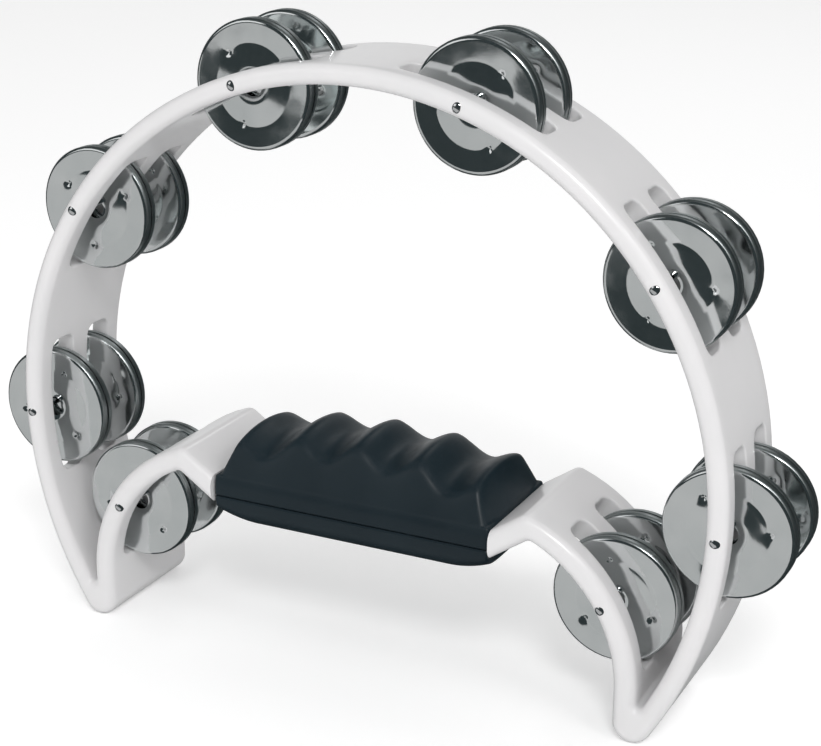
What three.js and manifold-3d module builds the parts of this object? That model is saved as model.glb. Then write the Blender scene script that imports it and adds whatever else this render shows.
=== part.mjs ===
// Half-moon hand tambourine with a rubber finger grip across its cut-away side.
// Millimetres. X to the player's right, Y from the front rim to the back rim, Z up.
// It stands on its two horns, which touch z = 0. Front rim at y = -25, back rim at y = 25.
import * as THREE from 'three';
import { mergeVertices } from 'three/addons/utils/BufferGeometryUtils.js';
import Module from 'manifold-3d';

const wasm = await Module();
wasm.setup();

// ---- driving dimensions ----
const DEPTH = 50;            // front rim to back rim
const LIFT = 78.56;          // height of the arc's centre above the horn tips
const BEAD = 3.1;            // rounding of the rim edges
const R_OUT = 129.4;         // outer wall of the arc
const R_IN = 122.6;          // inner wall of the arc
const R_OUT_LOW = 145;       // the wall opens out towards the horns
const R_IN_LOW = 136;
const FLARE_AT = -5;         // where the opening-out starts, degrees below level
const TIP_R = 6.5;           // horn tip
const ARM_C = [46.4, -61];   // centre of the inner arm's curve, from the arc's centre
const ARM_IN = 49;           // hand side of the arm
const ARM_OUT = 56.6;        // arc side of the arm
const STUB_AT = [65.7, -15.5];
const STUB_SLOPE = 33.9;     // degrees down towards the grip
const STUB_T = 8;
const STUB_END = 51.8;       // where the grip starts
const VALLEY_R = 1.3;
const PEAK_R = 3.6;
const CROTCH_R = 2.5;

const CORE = { x: 52.6, y: 17, z0: -22, z1: -16 };

const R_PIN = 126;
const SLOT = { half: 25.4, depth: 12, corner: 3.5, offset: 10.5 };
const ARM_SLOT_HALF = 25.6;
const PIN = { r: 1.25, hole: 1.55, head: 1.9, recess: 2.3, recessDepth: 1.6, end: 22 };
const JINGLE = {
  r: 21.4,
  hole: 3.5,
  deep: 2.9,
  sheet: 0.7,
  dish: 0.55,
  dishR: 13,
  gap: 0.8,          // between the two rims of a pair
  hang: 2,           // below the pin's axis
  first: 4.5,        // from the window's edge to the front jingle
};

const GRIP = {
  half: 51.3,        // half its length
  width: 23.5,       // half its depth
  top: 3.6,          // middle ridge, from the arc's centre
  droop: 1.2,        // fall of the next ridge
  pitch: 22.5,       // ridge to ridge
  groove: 5,
  endTop: -14.6,     // top of the end faces, which lean in above it
  endLean: 2.2,
  waist: -17,        // where the sides start to lean in
  sideLean: 2.5,     // rise of the leaning sides for each mm inwards
  crown: 1.7,        // fall of the crown over the bar's half-depth
  crownRise: 0.5,    // makes up what the shoulder blend takes off the crest
  shoulder: 2.4,     // blend between side and crown
  wall: 0.8,         // least skin over the bar
  split: -22.3,      // seam between the shells
  low: -31.3,        // underside
  endRise: 3.9,      // rise of the underside at the ends
  riseFrom: 34,      // where that rise starts
  gap: 0.3,
  stepsTo: 45,       // evenly spaced sections to here, closer ones beyond
};

// angle from straight up, for the pins in the arc; the last pair sits in the inner arms
const ARC_STATIONS = [-18.15, 18.15, 55.19, 91.86, -91.86, -55.19];
const ARM_PIN = [90.6, -34];

// ---- small helpers ----
const rad = (deg) => deg * Math.PI / 180;
const polar = (c, r, deg) => [c[0] + r * Math.cos(rad(deg)), c[1] + r * Math.sin(rad(deg))];
const angleOf = (c, p) => Math.atan2(p[1] - c[1], p[0] - c[0]) * 180 / Math.PI;

function material(color, roughness, metalness) {
  return new THREE.MeshStandardMaterial({ color, roughness, metalness });
}

// one closed skin from stacked loops of equal length, closed at both ends
function stack(loops, caps) {
  const n = loops[0].length;
  const pos = [];
  const index = [];
  for (const loop of loops) for (const p of loop) pos.push(p[0], p[1], p[2]);
  for (let k = 0; k + 1 < loops.length; k++) {
    for (let i = 0; i < n; i++) {
      const a = k * n + i;
      const b = k * n + (i + 1) % n;
      index.push(a, b, b + n, a, b + n, a + n);
    }
  }
  const top = (loops.length - 1) * n;
  for (const [a, b, c] of caps) {
    index.push(a, c, b);
    index.push(top + a, top + b, top + c);
  }
  const g = new THREE.BufferGeometry();
  g.setAttribute('position', new THREE.Float32BufferAttribute(pos, 3));
  g.setIndex(index);
  return g;
}

// triangles over a loop, wound the way the loop runs
function fill(loop2) {
  const n = loop2.length;
  const tris = THREE.ShapeUtils.triangulateShape(loop2, []);
  const along = tris.some((t) => t.some((a, k) => t[(k + 1) % 3] === (a + 1) % n));
  return along ? tris : tris.map(([a, b, c]) => [a, c, b]);
}

function fan(n) {
  const out = [];
  for (let i = 1; i + 1 < n; i++) out.push([0, i, i + 1]);
  return out;
}

function toSolid(geometry) {
  let g = geometry.clone();
  for (const name of ['normal', 'uv']) if (g.attributes[name]) g.deleteAttribute(name);
  g = mergeVertices(g, 1e-4);
  const tri = [];
  const idx = g.index.array;
  for (let i = 0; i < idx.length; i += 3) {
    if (idx[i] !== idx[i + 1] && idx[i + 1] !== idx[i + 2] && idx[i] !== idx[i + 2]) {
      tri.push(idx[i], idx[i + 1], idx[i + 2]);
    }
  }
  const make = (list) => new wasm.Manifold(new wasm.Mesh({
    numProp: 3,
    vertProperties: new Float32Array(g.attributes.position.array),
    triVerts: new Uint32Array(list),
  }));
  let solid = make(tri);
  if (solid.volume() < 0) {
    for (let i = 0; i < tri.length; i += 3) [tri[i + 1], tri[i + 2]] = [tri[i + 2], tri[i + 1]];
    solid = make(tri);
  }
  return solid;
}

function toGeometry(solid) {
  const m = solid.getMesh();
  const g = new THREE.BufferGeometry();
  const pos = new Float32Array(m.numVert * 3);
  for (let i = 0; i < m.numVert; i++) {
    for (let k = 0; k < 3; k++) pos[i * 3 + k] = m.vertProperties[i * m.numProp + k];
  }
  g.setAttribute('position', new THREE.Float32BufferAttribute(pos, 3));
  g.setIndex(Array.from(m.triVerts));
  const flat = g.toNonIndexed();
  flat.computeVertexNormals();
  return flat;
}

function box(x0, x1, y0, y1, z0, z1) {
  const g = new THREE.BoxGeometry(x1 - x0, y1 - y0, z1 - z0);
  g.translate((x0 + x1) / 2, (y0 + y1) / 2, (z0 + z1) / 2);
  return toSolid(g);
}

// round bar along Y
function rod(x, z, r, y0, y1, sides) {
  const g = new THREE.CylinderGeometry(r, r, y1 - y0, sides);
  g.translate(x, (y0 + y1) / 2, z);
  return toSolid(g);
}

// where two circles cross; side picks one of the two crossings
function cross(c1, r1, c2, r2, side) {
  const dx = c2[0] - c1[0];
  const dz = c2[1] - c1[1];
  const d = Math.hypot(dx, dz);
  const a = (d * d + r1 * r1 - r2 * r2) / (2 * d);
  const h = Math.sqrt(r1 * r1 - a * a) * side;
  return [c1[0] + (a * dx - h * dz) / d, c1[1] + (a * dz + h * dx) / d];
}

// ---- the frame's front outline, right half, drawn inwards by d ----
const u = [-Math.cos(rad(STUB_SLOPE)), -Math.sin(rad(STUB_SLOPE))];   // down the stub
const up = [u[1], -u[0]];                                             // across it, upwards
const cOutLow = polar([0, 0], -(R_OUT_LOW - R_OUT), FLARE_AT);
const cInLow = polar([0, 0], -(R_IN_LOW - R_IN), FLARE_AT);
const tipX = ARM_C[0] + ARM_IN + TIP_R;
const tipZ = cOutLow[1] - Math.sqrt((R_OUT_LOW - TIP_R) ** 2 - (tipX - cOutLow[0]) ** 2);
const cTip = [tipX, tipZ];
const cValley = cross(ARM_C, ARM_OUT + VALLEY_R, cInLow, R_IN_LOW - VALLEY_R, -1);

// centre of a fillet at distance off from a stub line and at distance r from the arm's centre
function onLine(off, r) {
  const p = [STUB_AT[0] + up[0] * off, STUB_AT[1] + up[1] * off];
  const w = [p[0] - ARM_C[0], p[1] - ARM_C[1]];
  const b = w[0] * u[0] + w[1] * u[1];
  const t = -b - Math.sqrt(b * b - (w[0] ** 2 + w[1] ** 2 - r * r));
  return [p[0] + u[0] * t, p[1] + u[1] * t];
}
const cCrotch = onLine(-CROTCH_R, ARM_IN - CROTCH_R);
const cPeak = onLine(STUB_T - PEAK_R, ARM_OUT - PEAK_R);
const upDeg = Math.atan2(up[1], up[0]) * 180 / Math.PI;

// points along an arc; one that follows on smoothly leaves out its first point
function arc(out, c, r, from, to, step, follows = false) {
  const n = Math.max(1, Math.round(Math.abs(to - from) / step));
  for (let i = follows ? 1 : 0; i <= n; i++) out.push(polar(c, r, from + (to - from) * i / n));
}

function halfOutline(d) {
  const p = [];
  const tipFrom = angleOf(cOutLow, cTip);
  arc(p, [0, 0], R_OUT - d, 90, FLARE_AT, 5);
  arc(p, cOutLow, R_OUT_LOW - d, FLARE_AT, tipFrom, 5, true);
  arc(p, cTip, TIP_R - d, tipFrom, -180, 21, true);
  arc(p, ARM_C, ARM_IN + d, 0, angleOf(ARM_C, cCrotch), 8);
  arc(p, cCrotch, CROTCH_R + d, angleOf(ARM_C, cCrotch), upDeg, 20, true);
  const reach = 34;
  for (const off of [d, STUB_T - d]) {
    p.push([STUB_AT[0] + u[0] * reach + up[0] * off, STUB_AT[1] + u[1] * reach + up[1] * off]);
  }
  arc(p, cPeak, PEAK_R - d, upDeg, angleOf(ARM_C, cPeak), 14);
  const vArm = angleOf(ARM_C, cValley);
  const vArc = angleOf(cInLow, cValley);
  arc(p, ARM_C, ARM_OUT - d, angleOf(ARM_C, cPeak), vArm, 8, true);
  arc(p, cValley, VALLEY_R + d, vArm + 180, vArc + 360, 30, true);
  arc(p, cInLow, R_IN_LOW + d, vArc, FLARE_AT, 5, true);
  arc(p, [0, 0], R_IN + d, FLARE_AT, 90, 5, true);
  return p;
}

function outline(d, y) {
  const right = halfOutline(d);
  const left = right.slice(1, -1).map((p) => [-p[0], p[1]]).reverse();
  return right.concat(left).map((p) => [p[0], y, p[1] + LIFT]);
}

function frameBlank() {
  const rows = [];
  for (const deg of [0, 45, 90]) {
    rows.push([BEAD * (1 - Math.sin(rad(deg))), BEAD * (1 - Math.cos(rad(deg)))]);
  }
  const loops = rows.map(([d, t]) => outline(d, -DEPTH / 2 + t));
  for (const [d, t] of rows.slice().reverse()) loops.push(outline(d, DEPTH / 2 - t));
  const flat = loops[0].map((p) => new THREE.Vector2(p[0], p[2]));
  return toSolid(stack(loops, fill(flat)));
}

// ---- stations: where a pin and its four jingles sit ----
const stations = ARC_STATIONS.map((deg) => ({
  at: [R_PIN * Math.sin(rad(deg)), R_PIN * Math.cos(rad(deg)) + LIFT],
  out: [Math.sin(rad(deg)), Math.cos(rad(deg))],
  half: SLOT.half,
  span: [-9, 9],
}));
for (const side of [1, -1]) {
  const v = [ARM_PIN[0] - ARM_C[0], ARM_PIN[1] - ARM_C[1]];
  const len = Math.hypot(v[0], v[1]);
  stations.push({
    at: [side * ARM_PIN[0], ARM_PIN[1] + LIFT],
    out: [side * v[0] / len, v[1] / len],
    half: ARM_SLOT_HALF,
    span: [-10, 8],
  });
}

// rounded window through the wall, square to it
function slotCutter(s, y) {
  const loop = [];
  const w = SLOT.depth / 2 - SLOT.corner;
  const h = s.half - SLOT.corner;
  for (const [cu, cv, from] of [[h, w, 0], [-h, w, 90], [-h, -w, 180], [h, -w, 270]]) {
    for (let i = 0; i <= 3; i++) {
      const a = rad(from + i * 30);
      loop.push([cu + SLOT.corner * Math.cos(a), cv + SLOT.corner * Math.sin(a)]);
    }
  }
  const along = [s.out[1], -s.out[0]];
  const place = (q) => loop.map(([a, b]) => [
    s.at[0] + along[0] * a + s.out[0] * q,
    y + b,
    s.at[1] + along[1] * a + s.out[1] * q,
  ]);
  return toSolid(stack([place(s.span[0]), place(s.span[1])], fan(loop.length)));
}

function buildFrame() {
  let f = frameBlank();
  f = f.subtract(box(-STUB_END, STUB_END, -30, 30, LIFT - 45, LIFT + 2));
  f = f.add(box(-CORE.x, CORE.x, -CORE.y, CORE.y, LIFT + CORE.z0, LIFT + CORE.z1));
  for (const s of stations) {
    f = f.subtract(slotCutter(s, -SLOT.offset));
    f = f.subtract(slotCutter(s, SLOT.offset));
    f = f.subtract(rod(s.at[0], s.at[1], PIN.hole, -24, PIN.end + 0.3, 10));
    f = f.subtract(rod(s.at[0], s.at[1], PIN.recess, -26, -DEPTH / 2 + PIN.recessDepth, 14));
  }
  return toGeometry(f);
}

// ---- grip: a finger shell with leaning sides over the bar, and a palm shell under it ----
function gripTop(x) {
  const crest = GRIP.top - GRIP.droop * (x / GRIP.pitch) ** 2;
  const wave = GRIP.groove * (0.5 - 0.5 * Math.cos(2 * Math.PI * x / GRIP.pitch)) ** 0.85;
  const lean = GRIP.endTop + GRIP.endLean * (GRIP.half - Math.abs(x));
  return Math.min(crest - wave, lean);
}

// height of the finger shell's skin
function gripSkin(x, y) {
  const side = GRIP.waist + GRIP.sideLean * (GRIP.width - Math.abs(y));
  const crown = gripTop(x) + GRIP.crownRise - GRIP.crown * (y / CORE.y) ** 2;
  const soft = 0.5 * (side + crown - Math.hypot(side - crown, GRIP.shoulder));
  return Math.max(soft, Math.min(side, CORE.z1 + GRIP.gap + GRIP.wall));
}

function xSteps(n) {
  const xs = [];
  for (let i = 0; i <= n; i++) xs.push(GRIP.stepsTo * (2 * i / n - 1));
  return [-GRIP.half, -49.3, -47, ...xs, 47, 49.3, GRIP.half];
}

function fingerShell() {
  const loops = [];
  const across = [22.4, 21, 19.6, 18.2, 16, 12, 6, 0];
  const ys = [...across, ...across.slice(0, -1).reverse().map((y) => -y)];
  for (const x of xSteps(28)) {
    const loop = [[x, GRIP.width, LIFT + GRIP.split], [x, GRIP.width, LIFT + GRIP.waist]];
    for (const y of ys) loop.push([x, y, LIFT + gripSkin(x, y)]);
    loop.push([x, -GRIP.width, LIFT + GRIP.waist], [x, -GRIP.width, LIFT + GRIP.split]);
    loops.push(loop);
  }
  const flat = loops[0].map((p) => new THREE.Vector2(p[1], p[2]));
  let g = toSolid(stack(loops, fill(flat)));
  const w = CORE.y + GRIP.gap;
  g = g.subtract(box(-60, 60, -w, w, LIFT - 40, LIFT + CORE.z1 + GRIP.gap));
  return toGeometry(g);
}

function palmShell() {
  const loops = [];
  const top = GRIP.split - GRIP.gap;
  const steps = 8;
  for (const x of [-GRIP.half, -47, -42, -34, -22, -8, 8, 22, 34, 42, 47, GRIP.half]) {
    const t = Math.max(0, Math.abs(x) - GRIP.riseFrom) / (GRIP.half - GRIP.riseFrom);
    const low = GRIP.low + GRIP.endRise * t * t;
    const loop = [[x, GRIP.width, LIFT + top], [x, -GRIP.width, LIFT + top]];
    for (let i = 1; i < steps; i++) {
      const c = -Math.cos(Math.PI * i / steps);
      const y = GRIP.width * Math.sign(c) * Math.abs(c) ** 0.4;
      const z = top - (top - low) * Math.sin(Math.PI * i / steps) ** 0.6;
      loop.push([x, y, LIFT + z]);
    }
    loops.push(loop);
  }
  const flat = loops[0].map((p) => new THREE.Vector2(p[1], p[2]));
  return toGeometry(toSolid(stack(loops, fill(flat))));
}

// ---- pins and jingles, turned about Y ----
function turned(profile, segments, x, z) {
  const pts = profile.map(([r, y]) => new THREE.Vector2(r, y));
  const g = new THREE.LatheGeometry(pts, segments);
  g.translate(x, 0, z);
  return toGeometry(toSolid(g));
}

function pinGeometry(s) {
  const y0 = -DEPTH / 2;
  const profile = [[0, y0], [1.1, y0 + 0.2], [PIN.head, y0 + 0.8], [PIN.head, y0 + 1.25],
    [PIN.r, y0 + 1.25], [PIN.r, PIN.end], [0, PIN.end]];
  return turned(profile, 10, s.at[0], s.at[1]);
}

// a pressed cup: flange, dished middle with the pin's hole, and a turned-in rim
function jingleGeometry(s, face, way) {
  const j = JINGLE;
  const back = j.dish + j.sheet;
  const profile = [[j.hole, j.dish], [j.dishR, j.dish], [j.dishR + 1.4, 0], [j.r, 0], [j.r, j.deep],
    [j.r - j.sheet, j.deep], [j.r - j.sheet, back], [j.hole, back], [j.hole, j.dish]];
  const placed = profile.map(([r, a]) => [r, face + way * a]);
  if (way < 0) placed.reverse();
  return turned(placed, 18, s.at[0], s.at[1] - j.hang);
}

// ---- assembly ----
const group = new THREE.Group();
group.name = 'tambourine';

function put(name, geometry, mat) {
  const mesh = new THREE.Mesh(geometry, mat);
  mesh.name = name;
  group.add(mesh);
}

put('frame', buildFrame(), material(0xe6e5e6, 0.28, 0));
put('grip_finger_shell', fingerShell(), material(0x1d2529, 0.55, 0));
put('grip_palm_shell', palmShell(), material(0x1a2226, 0.6, 0));

stations.forEach((s, k) => {
  const n = k + 1;
  put(`pin_${n}`, pinGeometry(s), material(0xc9ccce, 0.15, 1));
  for (const [where, slotY] of [['front', -SLOT.offset], ['rear', SLOT.offset]]) {
    const start = slotY - SLOT.depth / 2 + JINGLE.first;
    const end = start + 2 * JINGLE.deep + JINGLE.gap;
    put(`jingle_${n}_${where}_a`, jingleGeometry(s, start, 1), material(0xc4c9ca, 0.12, 1));
    put(`jingle_${n}_${where}_b`, jingleGeometry(s, end, -1), material(0xbfc5c6, 0.12, 1));
  }
});

export default group;
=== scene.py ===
import bpy, bmesh, math
from mathutils import Matrix, Vector


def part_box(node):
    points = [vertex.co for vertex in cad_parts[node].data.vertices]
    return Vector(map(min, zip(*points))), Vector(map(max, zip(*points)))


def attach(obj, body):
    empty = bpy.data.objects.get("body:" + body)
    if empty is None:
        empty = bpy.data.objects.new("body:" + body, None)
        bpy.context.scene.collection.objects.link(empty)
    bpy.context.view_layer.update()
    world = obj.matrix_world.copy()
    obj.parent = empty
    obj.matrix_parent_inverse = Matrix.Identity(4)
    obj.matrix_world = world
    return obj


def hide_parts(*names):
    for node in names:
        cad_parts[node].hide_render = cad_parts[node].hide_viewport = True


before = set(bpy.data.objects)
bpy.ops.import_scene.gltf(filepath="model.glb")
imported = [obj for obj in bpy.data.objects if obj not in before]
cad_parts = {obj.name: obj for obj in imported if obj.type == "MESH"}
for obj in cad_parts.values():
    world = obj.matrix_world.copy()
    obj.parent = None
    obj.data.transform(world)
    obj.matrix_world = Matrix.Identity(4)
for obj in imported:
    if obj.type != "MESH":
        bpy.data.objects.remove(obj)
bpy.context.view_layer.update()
mm = 0.001


# ---- small helpers ----
def joinRows(bm, rows, closed=False):
    # quads between neighbouring rows of vertices
    made = []
    for low, high in zip(rows, rows[1:]):
        count = len(low) if closed else len(low) - 1
        for i in range(count):
            j = (i + 1) % len(low)
            made.append(bm.faces.new((low[i], low[j], high[j], high[i])))
    return made


def finishMesh(bm, name, sharpAngle=40):
    bmesh.ops.recalc_face_normals(bm, faces=bm.faces)
    mesh = bpy.data.meshes.new(name)
    bm.to_mesh(mesh)
    bm.free()
    for polygon in mesh.polygons:
        polygon.use_smooth = True
    mesh.set_sharp_from_angle(angle=math.radians(sharpAngle))
    return mesh


def addPiece(name, mesh, material, body, nodes):
    piece = bpy.data.objects.new(name, mesh)
    bpy.context.scene.collection.objects.link(piece)
    if not mesh.materials:
        mesh.materials.append(material)
    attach(piece, body)
    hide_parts(*nodes)
    return piece


def turned(bm, profile, angles, warp=None):
    # a closed profile of (radius, along) turned about Y
    rings = []
    for angle in angles:
        ring = []
        for radius, along in profile:
            x, z = radius * math.cos(angle), radius * math.sin(angle)
            if warp:
                along = warp(radius, angle, along)
            ring.append(bm.verts.new((x * mm, along * mm, z * mm)))
        rings.append(ring)
    rings.append(rings[0])
    joinRows(bm, rings, closed=True)


def evenly(start, end, steps):
    return [start + (end - start) * i / steps for i in range(steps + 1)]


# ---- materials ----
def newMaterial(name, base, roughness, metallic=0.0, **more):
    material = bpy.data.materials.new(name)
    material.use_nodes = True
    tree = material.node_tree
    shader = tree.nodes["Principled BSDF"]
    shader.inputs["Base Color"].default_value = (*base, 1)
    shader.inputs["Roughness"].default_value = roughness
    shader.inputs["Metallic"].default_value = metallic
    for socket, value in more.items():
        shader.inputs[socket.replace("_", " ")].default_value = value
    return material, tree, shader


def addNode(tree, kind, **settings):
    node = tree.nodes.new(kind)
    for key, value in settings.items():
        if key in node.inputs:
            node.inputs[key].default_value = value
        else:
            setattr(node, key, value)
    return node


def noiseOn(tree, scale, detail=3.0, roughness=0.5, stretch=None):
    place = addNode(tree, "ShaderNodeTexCoord")
    source = place.outputs["Object"]
    if stretch:
        mapping = addNode(tree, "ShaderNodeMapping")
        mapping.inputs["Scale"].default_value = stretch
        tree.links.new(source, mapping.inputs["Vector"])
        source = mapping.outputs["Vector"]
    noise = addNode(tree, "ShaderNodeTexNoise", Scale=scale, Detail=detail, Roughness=roughness)
    tree.links.new(source, noise.inputs["Vector"])
    return noise.outputs["Fac"]


def ranged(tree, value, low, high, fromLow=0.3, fromHigh=0.7):
    node = addNode(tree, "ShaderNodeMapRange")
    node.inputs["From Min"].default_value = fromLow
    node.inputs["From Max"].default_value = fromHigh
    node.inputs["To Min"].default_value = low
    node.inputs["To Max"].default_value = high
    tree.links.new(value, node.inputs["Value"])
    return node.outputs["Result"]


def mixed(tree, value, first, second):
    node = addNode(tree, "ShaderNodeMix", data_type="RGBA")
    node.inputs[6].default_value = (*first, 1)
    node.inputs[7].default_value = (*second, 1)
    tree.links.new(value, node.inputs[0])
    return node.outputs[2]


def bumped(tree, shader, *layers):
    # layers of (height, strength, distance)
    normal = None
    for height, strength, distance in layers:
        bump = addNode(tree, "ShaderNodeBump", Strength=strength, Distance=distance)
        tree.links.new(height, bump.inputs["Height"])
        if normal:
            tree.links.new(normal, bump.inputs["Normal"])
        normal = bump.outputs["Normal"]
    tree.links.new(normal, shader.inputs["Normal"])


hoopFinish = {"base": (0.735, 0.725, 0.73), "shade": (0.70, 0.695, 0.70), "roughness": (0.30, 0.34)}


def hoopPlastic():
    material, tree, shader = newMaterial("hoopPlastic", hoopFinish["base"], 0.3)
    shader.inputs["Coat Weight"].default_value = 0.25
    shader.inputs["Coat Roughness"].default_value = 0.12
    cloud = noiseOn(tree, 28, 4)
    tree.links.new(mixed(tree, ranged(tree, cloud, 0, 1), hoopFinish["base"], hoopFinish["shade"]),
                   shader.inputs["Base Color"])
    smear = noiseOn(tree, 320, 2)
    tree.links.new(ranged(tree, smear, *hoopFinish["roughness"]), shader.inputs["Roughness"])
    fine = noiseOn(tree, 1400, 2)
    bumped(tree, shader, (fine, 0.05, 0.0001))
    return material


rubber = {"base": (0.003, 0.013, 0.020), "worn": (0.006, 0.018, 0.026), "roughness": (0.40, 0.52)}


def gripRubber():
    material, tree, shader = newMaterial("gripRubber", rubber["base"], 0.45)
    shader.inputs["Specular IOR Level"].default_value = 0.5
    shader.inputs["Sheen Weight"].default_value = 0.02
    shader.inputs["Sheen Roughness"].default_value = 0.4
    cloud = noiseOn(tree, 45, 5)
    tree.links.new(mixed(tree, ranged(tree, cloud, 0, 1), rubber["base"], rubber["worn"]),
                   shader.inputs["Base Color"])
    tree.links.new(ranged(tree, noiseOn(tree, 90, 6, 0.6), *rubber["roughness"]), shader.inputs["Roughness"])
    bumped(tree, shader, (noiseOn(tree, 60, 2), 0.08, 0.002), (noiseOn(tree, 2200, 2), 0.25, 0.00012))
    return material


nickel = {
    "base": (0.83, 0.85, 0.85), "dull": (0.75, 0.78, 0.78), "roughness": (0.05, 0.12),
    # painted shade: the skirt is the same plated sheet as the face but coloured darker, and its streak tone
    # darker still; the brushed streaks are the rim's real grain
    "skirt": (0.62, 0.65, 0.65), "skirtStreakShade": (0.30, 0.34, 0.34), "skirtRoughness": (0.36, 0.48),
    "skirtFrom": 20.75,
}


def blended(tree, mask, first, second):
    node = addNode(tree, "ShaderNodeMix", data_type="FLOAT")
    tree.links.new(mask, node.inputs[0])
    tree.links.new(first, node.inputs[2])
    tree.links.new(second, node.inputs[3])
    return node.outputs[0]


def outwardOf(tree, edge):
    # 1 beyond this distance from the jingle's axis
    place = addNode(tree, "ShaderNodeTexCoord")
    flat = addNode(tree, "ShaderNodeVectorMath", operation="MULTIPLY")
    flat.inputs[1].default_value = (1, 0, 1)
    tree.links.new(place.outputs["Object"], flat.inputs[0])
    length = addNode(tree, "ShaderNodeVectorMath", operation="LENGTH")
    tree.links.new(flat.outputs["Vector"], length.inputs[0])
    return ranged(tree, length.outputs["Value"], 0, 1, edge * mm, (edge + 0.25) * mm)


def jingleNickel():
    material, tree, shader = newMaterial("jingleNickel", nickel["base"], 0.08, metallic=1.0)
    skirt = outwardOf(tree, nickel["skirtFrom"])
    brushed = noiseOn(tree, 1, 3, 0.6, stretch=(90, 4200, 90))
    face = mixed(tree, ranged(tree, noiseOn(tree, 55, 5), 0, 1), nickel["base"], nickel["dull"])
    # painted shade on the turned rim: a darker colour than the face, mixed along the brushed grain
    side = mixed(tree, ranged(tree, brushed, 0, 1), nickel["skirt"], nickel["skirtStreakShade"])
    both = addNode(tree, "ShaderNodeMix", data_type="RGBA")
    tree.links.new(skirt, both.inputs[0])
    tree.links.new(face, both.inputs[6])
    tree.links.new(side, both.inputs[7])
    tree.links.new(both.outputs[2], shader.inputs["Base Color"])
    polish = ranged(tree, noiseOn(tree, 130, 6, 0.65), *nickel["roughness"])
    brush = ranged(tree, brushed, *nickel["skirtRoughness"])
    tree.links.new(blended(tree, skirt, polish, brush), shader.inputs["Roughness"])
    bumped(tree, shader, (noiseOn(tree, 70, 1), 0.1, 0.0012), (noiseOn(tree, 1500, 3), 0.04, 0.00005),
           (brushed, 0.12, 0.00005))
    return material


def pinChrome():
    material, tree, shader = newMaterial("pinChrome", (0.75, 0.76, 0.77), 0.1, metallic=1.0)
    tree.links.new(ranged(tree, noiseOn(tree, 400, 4), 0.06, 0.16), shader.inputs["Roughness"])
    return material


plastic = hoopPlastic()
gripBlack = gripRubber()
plate = jingleNickel()
chrome = pinChrome()
print("materials made")

# ---- the hoop: one moulding, built as its right half and mirrored ----
hoop = {
    "depth": 50, "lift": 78.56, "bead": 3.1,
    "outer": 129.4, "inner": 122.6, "outerLow": 145, "innerLow": 136, "flareAt": 95,
    "tip": 6.5, "valley": 1.3, "peak": 3.6, "crotch": 2.5,
    "armCentre": (46.4, -61), "armHand": 49, "armArc": 56.6,
    "stubFrom": (65.7, -15.5), "stubSlope": 33.9, "stubThick": 8, "stubEnd": 51.8,
    "windowHalf": 25.4, "armWindowHalf": 25.6, "windowDepth": 12, "windowCorner": 3.5,
    "windowAt": 10.5, "windowEdge": 0.7, "wall": 7.0,
    "core": (52.6, 17, -22, -16),
}


def polar(centre, radius, degrees):
    turn = math.radians(degrees)
    return Vector((centre[0] + radius * math.cos(turn), centre[1] + radius * math.sin(turn)))


def degreesOf(centre, point):
    return math.degrees(math.atan2(point[1] - centre[1], point[0] - centre[0]))


def crossing(c1, r1, c2, r2, side):
    # where two circles cross
    gap = Vector(c2) - Vector(c1)
    along = (gap.length_squared + r1 * r1 - r2 * r2) / (2 * gap.length)
    up = side * math.sqrt(r1 * r1 - along * along)
    unit = gap.normalized()
    return Vector(c1) + unit * along + Vector((-unit.y, unit.x)) * up


slope = math.radians(hoop["stubSlope"])
downStub = Vector((-math.cos(slope), -math.sin(slope)))
acrossStub = Vector((downStub.y, -downStub.x))
armCentre = Vector(hoop["armCentre"])
flareDegrees = 90 - hoop["flareAt"]
outerLowCentre = polar((0, 0), hoop["outer"] - hoop["outerLow"], flareDegrees)
innerLowCentre = polar((0, 0), hoop["inner"] - hoop["innerLow"], flareDegrees)
tipX = armCentre.x + hoop["armHand"] + hoop["tip"]
tipDrop = math.sqrt((hoop["outerLow"] - hoop["tip"]) ** 2 - (tipX - outerLowCentre.x) ** 2)
tipCentre = Vector((tipX, outerLowCentre.y - tipDrop))
valleyCentre = crossing(armCentre, hoop["armArc"] + hoop["valley"],
                        innerLowCentre, hoop["innerLow"] - hoop["valley"], -1)


def besideStub(offset, radius):
    # centre of a fillet between a stub line and one of the arm's curves
    p = Vector(hoop["stubFrom"]) + acrossStub * offset
    w = p - armCentre
    b = w.dot(downStub)
    return p + downStub * (-b - math.sqrt(b * b - (w.length_squared - radius * radius)))


crotchCentre = besideStub(-hoop["crotch"], hoop["armHand"] - hoop["crotch"])
peakCentre = besideStub(hoop["stubThick"] - hoop["peak"], hoop["armArc"] - hoop["peak"])
acrossDegrees = degreesOf((0, 0), acrossStub)


def wallPoint(fromTop, inset, side):
    # on the arc's outer (1) or inner (-1) wall, at an angle from the top
    direction = Vector((math.sin(math.radians(fromTop)), math.cos(math.radians(fromTop))))
    radius = hoop["outer"] - inset if side > 0 else hoop["inner"] + inset
    if fromTop <= hoop["flareAt"]:
        return direction * radius
    centre = outerLowCentre if side > 0 else innerLowCentre
    low = hoop["outerLow"] - inset if side > 0 else hoop["innerLow"] + inset
    b = direction.dot(centre)
    return direction * (b + math.sqrt(b * b - centre.length_squared + low * low))


pinPlaces = []
for number in range(1, 9):
    low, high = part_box(f"pin_{number}")
    pinPlaces.append(((low[0] + high[0]) / 2 / mm, (low[2] + high[2]) / 2 / mm))
rightPins = [(x, z - hoop["lift"]) for x, z in pinPlaces if x > 0]
arcPins = sorted((p for p in rightPins if math.hypot(*p) > 110), key=lambda p: -p[1])
armPin = [p for p in rightPins if math.hypot(*p) < 110][0]


class Window:
    # a pair of windows through one stretch of wall; the wall's samples run through them
    def __init__(self, middle, radius, halfLength, wall):
        self.middle = middle
        self.wall = wall
        self.half = math.degrees(halfLength / radius)
        self.perMm = math.degrees(1 / radius)
        self.reach = self.half + 1.9 * self.perMm
        self.samples = [middle + t for t in evenly(-self.reach, self.reach, 14)]


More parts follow.
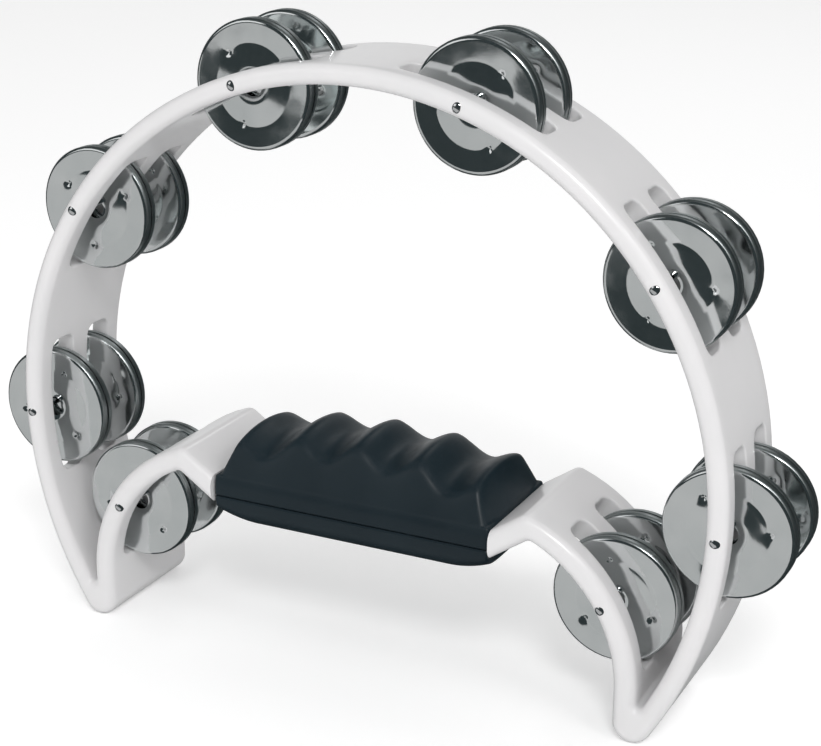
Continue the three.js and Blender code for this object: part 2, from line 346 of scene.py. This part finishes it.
def arcWall(angle, mix):
    inner, outer = wallPoint(angle, 0, -1), wallPoint(angle, 0, 1)
    return outer.lerp(inner, mix)


def armWall(angle, mix):
    return polar(armCentre, hoop["armArc"] + (hoop["armHand"] - hoop["armArc"]) * mix, angle)


arcWindows = []
for x, z in arcPins:
    arcWindows.append(Window(math.degrees(math.atan2(x, z)), math.hypot(x, z), hoop["windowHalf"], arcWall))
armRadius = (Vector(armPin) - armCentre).length
armWindow = Window(degreesOf(armCentre, armPin), armRadius, hoop["armWindowHalf"] * 0.955, armWall)

arcSamples = [0.0]
for window in arcWindows:
    start = arcSamples[-1]
    steps = max(1, round((window.samples[0] - start) / 2.2))
    arcSamples += evenly(start, window.samples[0], steps)[1:-1] + window.samples
tipFrom = degreesOf(outerLowCentre, tipCentre)
tipFromTop = 90 - degreesOf((0, 0), polar(outerLowCentre, hoop["outerLow"], tipFrom))


def halfOutline(inset):
    # the right half's outline, with the index where each windowed stretch starts
    points, starts = [], {}

    def arc(centre, radius, start, end, steps):
        points.extend(polar(centre, radius, a) for a in evenly(start, end, steps)[1:])

    for angle in arcSamples:
        for k, window in enumerate(arcWindows):
            if angle == window.samples[0]:
                starts["outer", k] = len(points)
        points.append(wallPoint(angle, inset, 1))
    points.extend(wallPoint(a, inset, 1) for a in evenly(arcSamples[-1], tipFromTop, 8)[1:-1])
    points.append(polar(outerLowCentre, hoop["outerLow"] - inset, tipFrom))
    arc(tipCentre, hoop["tip"] - inset, tipFrom, -180, 14)
    points.append(Vector((armCentre.x + hoop["armHand"] + inset, armCentre.y)))
    crotchDegrees = degreesOf(armCentre, crotchCentre)
    starts["hand", 0] = len(points)
    handAngles = armWindow.samples + evenly(armWindow.samples[-1], crotchDegrees, 2)[1:]
    points.extend(polar(armCentre, hoop["armHand"] + inset, a) for a in handAngles)
    arc(crotchCentre, hoop["crotch"] + inset, crotchDegrees, acrossDegrees, 6)
    for offset in (inset, hoop["stubThick"] - inset):
        onLine = Vector(hoop["stubFrom"]) + acrossStub * offset
        points.append(onLine + downStub * ((onLine.x - hoop["stubEnd"]) / -downStub.x))
    peakDegrees = degreesOf(armCentre, peakCentre)
    points.append(polar(peakCentre, hoop["peak"] - inset, acrossDegrees))
    arc(peakCentre, hoop["peak"] - inset, acrossDegrees, peakDegrees, 8)
    valleyArm = degreesOf(armCentre, valleyCentre)
    backAngles = evenly(peakDegrees, armWindow.samples[-1], 2)[1:-1]
    points.extend(polar(armCentre, hoop["armArc"] - inset, a) for a in backAngles)
    starts["arcSide", 0] = len(points)
    backAngles = list(reversed(armWindow.samples)) + [valleyArm]
    points.extend(polar(armCentre, hoop["armArc"] - inset, a) for a in backAngles)
    valleyArc = degreesOf(innerLowCentre, valleyCentre)
    arc(valleyCentre, hoop["valley"] + inset, valleyArm + 180, valleyArc + 360, 10)
    valleyEnd = polar(innerLowCentre, hoop["innerLow"] + inset, valleyArc)
    endFromTop = 90 - degreesOf((0, 0), valleyEnd)
    points.extend(wallPoint(a, inset, -1) for a in evenly(endFromTop, arcSamples[-1], 8)[1:-1])
    for angle in reversed(arcSamples):
        for k, window in enumerate(arcWindows):
            if angle == window.samples[-1]:
                starts["inner", k] = len(points)
        points.append(wallPoint(angle, inset, -1))
    return points, starts


def windowRing(window, middle, grow, mix):
    # one rounded loop through a window: grown by grow, at mix of the wall's thickness
    corner = hoop["windowCorner"] + grow
    halfU = window.half / window.perMm + grow
    halfV = hoop["windowDepth"] / 2 + grow
    loop = []
    sides = (((1, 1), 0), ((-1, 1), 90), ((-1, -1), 180), ((1, -1), 270))
    for k, ((su, sv), turn) in enumerate(sides):
        cu, cv = su * (halfU - corner), sv * (halfV - corner)
        for a in evenly(turn, turn + 90, 4):
            loop.append((cu + corner * math.cos(math.radians(a)), cv + corner * math.sin(math.radians(a))))
        nu, nv = sides[(k + 1) % 4][0]
        endU, endV = nu * (halfU - corner), nv * (halfV - corner)
        steps = 10 if k % 2 == 0 else 2
        first = loop[-1]
        if k % 2 == 0:
            last = (endU, first[1])
        else:
            last = (first[0], endV)
        for i in range(1, steps):
            loop.append((first[0] + (last[0] - first[0]) * i / steps,
                         first[1] + (last[1] - first[1]) * i / steps))
    placed = []
    for u, v in loop:
        p = window.wall(window.middle + u * window.perMm, mix)
        placed.append(Vector((p.x * mm, (middle + v) * mm, (p.y + hoop["lift"]) * mm)))
    return placed


def buildHoop():
    bm = bmesh.new()
    bead, half = hoop["bead"], hoop["depth"] / 2
    rows = []
    for a in evenly(0, 90, 7):
        turn = math.radians(a)
        rows.append((bead * (1 - math.sin(turn)), -half + bead * (1 - math.cos(turn))))
    reachV = hoop["windowDepth"] / 2 + 2
    patchRows = {}
    middleRows = []
    for middle in (-hoop["windowAt"], hoop["windowAt"]):
        patchRows[middle] = len(rows) + len(middleRows)
        middleRows += evenly(middle - reachV, middle + reachV, 6)
    rows += [(0, y) for y in middleRows]
    rows += [(inset, -y) for inset, y in reversed(rows[:8])]
    grid = []
    for inset, y in rows:
        points, starts = halfOutline(inset)
        grid.append([bm.verts.new((p.x * mm, y * mm, (p.y + hoop["lift"]) * mm)) for p in points])
    cut = set()
    patches = []
    pairs = [(w, starts["outer", k], starts["inner", k]) for k, w in enumerate(arcWindows)]
    pairs.append((armWindow, starts["arcSide", 0], starts["hand", 0]))
    for window, first, second in pairs:
        for middle, row in patchRows.items():
            for start in (first, second):
                cut.update((row + j, start + i) for j in range(6) for i in range(14))
            patches.append((window, middle, row, first, second))
    for j in range(len(grid) - 1):
        for i in range(len(grid[0]) - 1):
            if (j, i) not in cut:
                bm.faces.new((grid[j][i], grid[j][i + 1], grid[j + 1][i + 1], grid[j + 1][i]))

    def border(row, start, backwards):
        # the patch's edge vertices, from its far corner round, as the rounded loops run
        along = list(range(start, start + 15))
        if backwards:
            along.reverse()
        low, high = row, row + 6
        ring = [grid[high][i] for i in reversed(along)][:-1]
        ring += [grid[j][along[0]] for j in range(high, low, -1)]
        ring += [grid[low][i] for i in along][:-1]
        ring += [grid[j][along[-1]] for j in range(low, high)]
        return ring

    edge = hoop["windowEdge"]
    for window, middle, row, first, second in patches:
        onArc = window is not armWindow
        outerRing = border(row, first, not onArc)
        innerRing = border(row, second, onArc)
        steps = []
        for a in evenly(0, 90, 4):
            turn = math.radians(a)
            steps.append((edge * (1 - math.sin(turn)), edge * (1 - math.cos(turn)) / hoop["wall"]))
        steps += [(grow, 1 - mix) for grow, mix in reversed(steps)]
        loops = [outerRing]
        for grow, mix in steps:
            ring = windowRing(window, middle, grow, mix)
            shift = 2                       # start at the middle of the first rounded corner
            ring = ring[shift:] + ring[:shift]
            loops.append([bm.verts.new(p) for p in ring])
        loops.append(innerRing)
        joinRows(bm, loops, closed=True)
    for side in (0, -1):
        bm.faces.new(grid[side])
    mirrored = bmesh.ops.duplicate(bm, geom=bm.verts[:] + bm.edges[:] + bm.faces[:])
    copies = [g for g in mirrored["geom"] if isinstance(g, bmesh.types.BMVert)]
    for vert in copies:
        vert.co.x = -vert.co.x
    bmesh.ops.remove_doubles(bm, verts=[v for v in bm.verts if abs(v.co.x) < 1e-7], dist=1e-6)
    addCore(bm)
    return finishMesh(bm, "hoop", 50)


def addCore(bm):
    # the bar inside the grip, with eased edges
    length, halfDepth, low, high = hoop["core"]
    rings = []
    for x, ease in ((-length, 0.8), (-length + 0.8, 0), (length - 0.8, 0), (length, 0.8)):
        ring = []
        for sy, sz in ((-1, 0), (1, 0), (1, 1), (-1, 1)):
            y = sy * (halfDepth - ease)
            z = (high - ease if sz else low + ease) + hoop["lift"]
            ring.append(bm.verts.new((x * mm, y * mm, z * mm)))
        rings.append(ring)
    joinRows(bm, rings, closed=True)
    bm.faces.new(rings[0])
    bm.faces.new(rings[-1])


addPiece("hoop", buildHoop(), plastic, "frame", ["frame"])
print("hoop built")

# ---- grip: finger shell over the bar, palm shell under it ----
grip = {
    "half": 51.3, "width": 23.5, "top": 3.6, "droop": 1.2, "pitch": 22.5, "groove": 5,
    "endTop": -14.6, "endLean": 2.2, "waist": -17, "sideLean": 2.5, "crown": 2.4, "shoulder": 2.8,
    "waistEase": 0.5, "skin": 0.8, "endRise": 3.9, "riseFrom": 36,
    "split": -22.3, "low": -32.9, "gap": 0.3, "ease": 1.0,
}


def softMin(a, b, blend):
    return 0.5 * (a + b - math.sqrt((a - b) ** 2 + blend * blend))


def crestAt(x):
    crest = grip["top"] - grip["droop"] * (x / grip["pitch"]) ** 2
    wave = grip["groove"] * (0.5 - 0.5 * math.cos(2 * math.pi * x / grip["pitch"])) ** 0.85
    lean = grip["endTop"] + grip["endLean"] * (grip["half"] - abs(x))
    return softMin(crest - wave, lean, 1.0)


def easedEnds(half, ease, steps):
    # stations along X with the amount each section shrinks near the two ends
    stations = []
    for a in evenly(0, 90, 5):
        turn = math.radians(a)
        stations.append((-half + ease * (1 - math.cos(turn)), ease * (1 - math.sin(turn))))
    middle = [(x, 0) for x in evenly(-half + ease, half - ease, steps)[1:-1]]
    return stations + middle + [(-x, shrink) for x, shrink in reversed(stations)]


def sideAt(inwards):
    # height of the leaning side, eased into the upright wall below the waist
    return grip["waist"] + grip["sideLean"] * (inwards - grip["waistEase"] ** 2 / (4 * inwards))


def topAt(x, y, inwards):
    # height of the finger shell's skin: leaning sides running into a nearly flat crown
    crown = crestAt(x) - grip["crown"] * (y / hoop["core"][1]) ** 2
    cover = hoop["core"][3] + grip["gap"] + grip["skin"]
    return max(softMin(sideAt(inwards), crown, grip["shoulder"]), min(sideAt(inwards), cover))


def buildFingerShell():
    bm = bmesh.new()
    rings = []
    split = grip["split"]
    coreHalf = hoop["core"][1] + grip["gap"]
    coreTop = hoop["core"][3] + grip["gap"]
    wallFrom = (split + 0.5 - grip["waist"]) / grip["sideLean"]
    across = [0.5 * (t + math.hypot(t, grip["waistEase"])) for t in evenly(wallFrom, 1.2, 14)]
    across += evenly(1.4, 6.5, 14) + evenly(6.5, 23.5, 16)[1:]     # measured in from the front face
    for x, shrink in easedEnds(grip["half"], grip["ease"], 170):
        w = grip["width"] - shrink
        half = []
        for d in across:
            y = w - d * w / grip["width"]
            z = topAt(x, y, d)
            z -= shrink * min(1, max(0, (z - split - 0.5) / 4))
            half.append((y, z))
        section = [(w - 0.5, split)] + half + [(-y, z) for y, z in reversed(half[:-1])] + [(-w + 0.5, split)]
        section += [(-coreHalf, split), (-coreHalf, coreTop), (coreHalf, coreTop), (coreHalf, split)]
        rings.append([bm.verts.new((x * mm, y * mm, (z + hoop["lift"]) * mm)) for y, z in section])
    joinRows(bm, rings, closed=True)
    bm.faces.new(rings[0])
    bm.faces.new(rings[-1])
    return finishMesh(bm, "fingerShell", 45)


def buildPalmShell():
    bm = bmesh.new()
    rings = []
    for x, shrink in easedEnds(grip["half"], grip["ease"], 60):
        w = grip["width"] - shrink
        top = grip["split"] - grip["gap"]
        outwards = max(0, abs(x) - grip["riseFrom"]) / (grip["half"] - grip["riseFrom"])
        low = grip["low"] + grip["endRise"] * outwards ** 2 + shrink
        section = [(w - 0.5, top), (w, top - 0.5)]
        for a in evenly(0, 180, 48)[1:-1]:
            c, s = math.cos(math.radians(a)), math.sin(math.radians(a))
            y = w * abs(c) ** 0.4 * (1 if c > 0 else -1)
            section.append((y, top - 0.5 - (top - 0.5 - low) * s ** 0.6))
        section += [(-w, top - 0.5), (-w + 0.5, top)]
        rings.append([bm.verts.new((x * mm, y * mm, (z + hoop["lift"]) * mm)) for y, z in section])
    joinRows(bm, rings, closed=True)
    bm.faces.new(rings[0])
    bm.faces.new(rings[-1])
    return finishMesh(bm, "palmShell", 45)


addPiece("fingerShell", buildFingerShell(), gripBlack, "frame", ["grip_finger_shell"])
addPiece("palmShell", buildPalmShell(), gripBlack, "frame", ["grip_palm_shell"])
print("grip built")

# ---- pins: plated nails with domed heads ----
pin = {"shaft": 1.25, "head": 1.85, "dome": 1.0, "end": 22.0}


def buildPin():
    bm = bmesh.new()
    face = -hoop["depth"] / 2
    profile = []
    for a in evenly(4, 90, 8):
        turn = math.radians(a)
        profile.append((pin["head"] * math.sin(turn), face + pin["dome"] * (1 - math.cos(turn)) - 0.35))
    profile += [(pin["head"], face + 1.2), (pin["shaft"], face + 1.3), (pin["shaft"], pin["end"] - 0.5),
                (pin["shaft"] - 0.5, pin["end"])]
    angles = evenly(0, 2 * math.pi, 32)[:-1]
    rings = []
    for angle in angles:
        ring = []
        for radius, along in profile:
            x, z = radius * math.cos(angle), radius * math.sin(angle)
            ring.append(bm.verts.new((x * mm, along * mm, z * mm)))
        rings.append(ring)
    joinRows(bm, rings + [rings[0]])
    bm.faces.new([ring[0] for ring in rings])
    bm.faces.new([ring[-1] for ring in rings])
    return finishMesh(bm, "pin", 40)


pinMesh = buildPin()
for number, (x, z) in enumerate(pinPlaces, 1):
    piece = addPiece(f"pin{number}", pinMesh, chrome, "frame", [f"pin_{number}"])
    piece.location = (x * mm, 0, z * mm)
print("pins built")

# ---- jingles: pressed cups with a sunk hub, a raised panel, a valley ring and three dimples ----
jingle = {
    "sheet": 0.56, "radius": 21.4, "deep": 2.9, "bend": 1.05,
    "face": [(3.6, 0.80), (4.2, 0.60), (4.8, 0.45), (5.5, 0.33), (6.2, 0.29), (7, 0.33), (8, 0.42), (9, 0.51),
             (10, 0.59), (11, 0.66), (11.7, 0.70), (12.3, 0.74), (12.7, 0.78), (13.05, 0.81), (13.4, 0.83),
             (13.8, 0.82), (14.2, 0.795), (15, 0.755), (16, 0.71), (17.2, 0.655), (18.6, 0.595),
             (19.6, 0.551), (19.95, 0.535), (20.05, 0.53)],
    "dimpleAt": 13.3, "pitWide": 0.85, "pitDeep": 0.5, "dentWide": 2.6, "dentDeep": 0.18,
    "firstDimple": (12, 51, 0, 8, 71, 25, 101, 73),
}


def jingleProfile():
    half = jingle["sheet"] / 2
    line = [Vector(p) for p in jingle["face"]]
    outer = jingle["radius"] - half
    centre = Vector((outer - jingle["bend"], line[-1].y + jingle["bend"]))
    for a in evenly(75, 0, 5):
        line.append(Vector((centre.x + jingle["bend"] * math.cos(math.radians(a)),
                            centre.y - jingle["bend"] * math.sin(math.radians(a)))))
    line += [Vector((outer, 2.2)), Vector((outer, jingle["deep"] - 0.12))]
    front, back = [], []
    for k, p in enumerate(line):
        ahead = line[min(k + 1, len(line) - 1)] - line[max(k - 1, 0)]
        side = Vector((ahead.y, -ahead.x)).normalized() * half
        front.append((p.x + side.x, p.y + side.y))
        back.append((p.x - side.x, p.y - side.y))
    rim = [(outer, jingle["deep"])]
    return front + rim + [back[k] for k in range(len(back) - 1, -1, -1)]


def jingleAngles():
    # closer together at the three dimples
    near = (0, 1.6, 3.3, 5.2, 7.4, 10, 13, 17, 21.5, 27, 33, 39.5, 46.5, 53.5)
    angles = []
    for third in (0, 120, 240):
        angles += [third + a for a in near] + [third + 60] + [third + 120 - a for a in reversed(near[1:])]
    return [math.radians(a) for a in angles]


def jingleWarp(radius, angle, along):
    # the three pressed dimples, and the slight unevenness of thin sheet
    third = (angle + math.pi / 3) % (math.pi * 2 / 3) - math.pi / 3
    away = math.hypot(radius - jingle["dimpleAt"], radius * third)
    pit = jingle["pitDeep"] * math.exp(-((away / jingle["pitWide"]) ** 2))
    dent = jingle["dentDeep"] * math.exp(-((away / jingle["dentWide"]) ** 2))
    sway = 0.03 * math.sin(2 * angle + 0.6) * (radius / 21) ** 2
    sway += 0.02 * math.sin(3 * angle + 2.1) * radius / 21
    return along + (pit + dent if radius < 19 else 0) + (sway if along < 2 else sway * 0.3)


def buildJingle():
    bm = bmesh.new()
    turned(bm, jingleProfile(), jingleAngles(), jingleWarp)
    return finishMesh(bm, "jingle", 50)


jingleMesh = buildJingle()
turnSteps = (17, 63, 38, 81, 5, 52, 29, 74)
for number in range(1, 9):
    for where in ("front", "rear"):
        for letter in ("a", "b"):
            node = f"jingle_{number}_{where}_{letter}"
            low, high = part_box(node)
            x, z = (low[0] + high[0]) / 2, (low[2] + high[2]) / 2
            spin = turnSteps[(number * 3 + (where == "rear") * 5 + (letter == "b") * 2) % 8]
            if where == "front" and letter == "a":
                spin = -jingle["firstDimple"][number - 1]
            turn = Matrix.Rotation(math.radians(spin), 4, "Y")
            if letter == "b":
                turn = Matrix.Rotation(math.pi, 4, "Z") @ turn
            turnedMesh = jingleMesh.copy()
            turnedMesh.transform(turn)
            piece = addPiece(f"jingle{number}{where.title()}{letter.upper()}", turnedMesh, plate, node,
                             [node])
            piece.location = (x, low[1] if letter == "a" else high[1], z)
print("jingles built")

# ---- floor, light and camera ----
studio = {
    "floor": (0.93, 0.93, 0.93), "world": 0.69, "floorGlow": 0.2,
    "camera": (0.27217, -0.52305, 0.30483), "look": (-0.421024, 0.846329, -0.326292), "roll": 0.19,
    "lens": 81.93,
}


def plane(name, size, matrix, material):
    bm = bmesh.new()
    bmesh.ops.create_grid(bm, x_segments=1, y_segments=1, size=0.5)
    mesh = bpy.data.meshes.new(name)
    bm.to_mesh(mesh)
    bm.free()
    piece = bpy.data.objects.new(name, mesh)
    bpy.context.scene.collection.objects.link(piece)
    piece.matrix_world = matrix @ Matrix.Diagonal((size[0], size[1], 1, 1))
    mesh.materials.append(material)
    return piece


paper, tree, shader = newMaterial("floorPaper", studio["floor"], 0.9)
paperTone = mixed(tree, noiseOn(tree, 3), studio["floor"], (0.95, 0.95, 0.95))
tree.links.new(paperTone, shader.inputs["Base Color"])
shader.inputs["Emission Color"].default_value = (1, 1, 1, 1)
shader.inputs["Emission Strength"].default_value = studio["floorGlow"]
floor = plane("floor", (8, 8), Matrix.Translation((0, 0, 0)), paper)
floor.visible_glossy = False


def clothOf(name, colour, deeper):
    material, tree, shader = newMaterial(name, colour, 0.95)
    tree.links.new(mixed(tree, noiseOn(tree, 5), colour, deeper), shader.inputs["Base Color"])
    return material


def onlyReflected(piece):
    piece.visible_camera = False
    piece.visible_diffuse = False
    piece.visible_shadow = False
    piece.visible_transmission = False


darkCloth = clothOf("darkCloth", (0.02, 0.035, 0.037), (0.06, 0.075, 0.08))

bm = bmesh.new()
bmesh.ops.create_icosphere(bm, subdivisions=4, radius=6)
for face in bm.faces:
    face.normal_flip()
mesh = bpy.data.meshes.new("darkTent")
bm.to_mesh(mesh)
bm.free()
tent = bpy.data.objects.new("darkTent", mesh)
bpy.context.scene.collection.objects.link(tent)
mesh.materials.append(darkCloth)
onlyReflected(tent)

cards = {
    # corners as directions from the object (right, up; the rest towards front or back), glow
    "cardFront": {"side": -1, "glow": 0.55,
                  "corners": ((-0.85, 0.01), (0.10, -0.465), (0.2, -0.75), (-0.3, -0.93), (-0.92, -0.38))},
    "cardBack": {"side": 1, "glow": 0.9,
                 "corners": ((-0.75, -0.4), (0.05, -0.4), (0.05, 0.3), (-0.75, 0.3))},
}


def glowCard(name, side, glow, corners):
    bm = bmesh.new()
    ring = []
    for k, (right, up) in enumerate(corners):
        nextRight, nextUp = corners[(k + 1) % len(corners)]
        for step in evenly(0, 1, 8)[:-1]:
            r, u = right + (nextRight - right) * step, up + (nextUp - up) * step
            away = side * math.sqrt(max(0, 1 - r * r - u * u))
            ring.append(bm.verts.new((r * 4, away * 4, u * 4 + 0.1)))
    bm.faces.new(ring)
    mesh = bpy.data.meshes.new(name)
    bm.to_mesh(mesh)
    bm.free()
    card = bpy.data.objects.new(name, mesh)
    bpy.context.scene.collection.objects.link(card)
    material, tree, shader = newMaterial(name, (0, 0, 0), 0.9)
    tone = mixed(tree, noiseOn(tree, 0.8, 1), (0.8, 0.82, 0.82), (1, 1, 1))
    tree.links.new(tone, shader.inputs["Emission Color"])
    shader.inputs["Emission Strength"].default_value = glow
    mesh.materials.append(material)
    onlyReflected(card)


for name, card in cards.items():
    glowCard(name, **card)


def addLight(name, place, target, size, power):
    light = bpy.data.lights.new(name, "AREA")
    light.shape = "RECTANGLE"
    light.size, light.size_y = size
    light.energy = power
    lamp = bpy.data.objects.new(name, light)
    lamp.matrix_world = Matrix.Translation(place) @ (
        (Vector(target) - Vector(place)).to_track_quat("-Z", "Y").to_matrix().to_4x4())
    bpy.context.scene.collection.objects.link(lamp)
    return lamp


lights = [
    # name, place, target, size, power
    ("keyLight", (0.67, -1.15, 1.3), (0, 0, 0.1), (0.4, 0.4), 10),
    ("fillLight", (-1.2, -1.3, 0.9), (0, 0, 0.1), (1.0, 1.0), 2.5),
    ("edgeLight", (1.15, -0.48, 1.1), (0, 0, 0.08), (0.35, 0.35), 2.2),
    ("hairLight", (-0.1, 1.3, 1.25), (0, 0, 0.1), (0.3, 0.3), 1.2),
]
for light in lights:
    addLight(*light)

world = bpy.data.worlds.new("studioRoom")
bpy.context.scene.world = world
world.use_nodes = True
world.node_tree.nodes["Background"].inputs["Color"].default_value = (1, 1, 1, 1)
world.node_tree.nodes["Background"].inputs["Strength"].default_value = studio["world"]

camera = bpy.data.cameras.new("camera")
camera.sensor_fit = "HORIZONTAL"
camera.sensor_width = 36
camera.lens = studio["lens"]
camera.clip_start = 0.01
cameraPiece = bpy.data.objects.new("camera", camera)
bpy.context.scene.collection.objects.link(cameraPiece)
aim = Vector(studio["look"]).to_track_quat("-Z", "Y").to_matrix().to_4x4()
cameraPiece.matrix_world = (Matrix.Translation(studio["camera"]) @ aim
                            @ Matrix.Rotation(math.radians(studio["roll"]), 4, "Z"))
bpy.context.scene.camera = cameraPiece
bpy.context.scene.view_settings.view_transform = "Standard"
print("studio set")
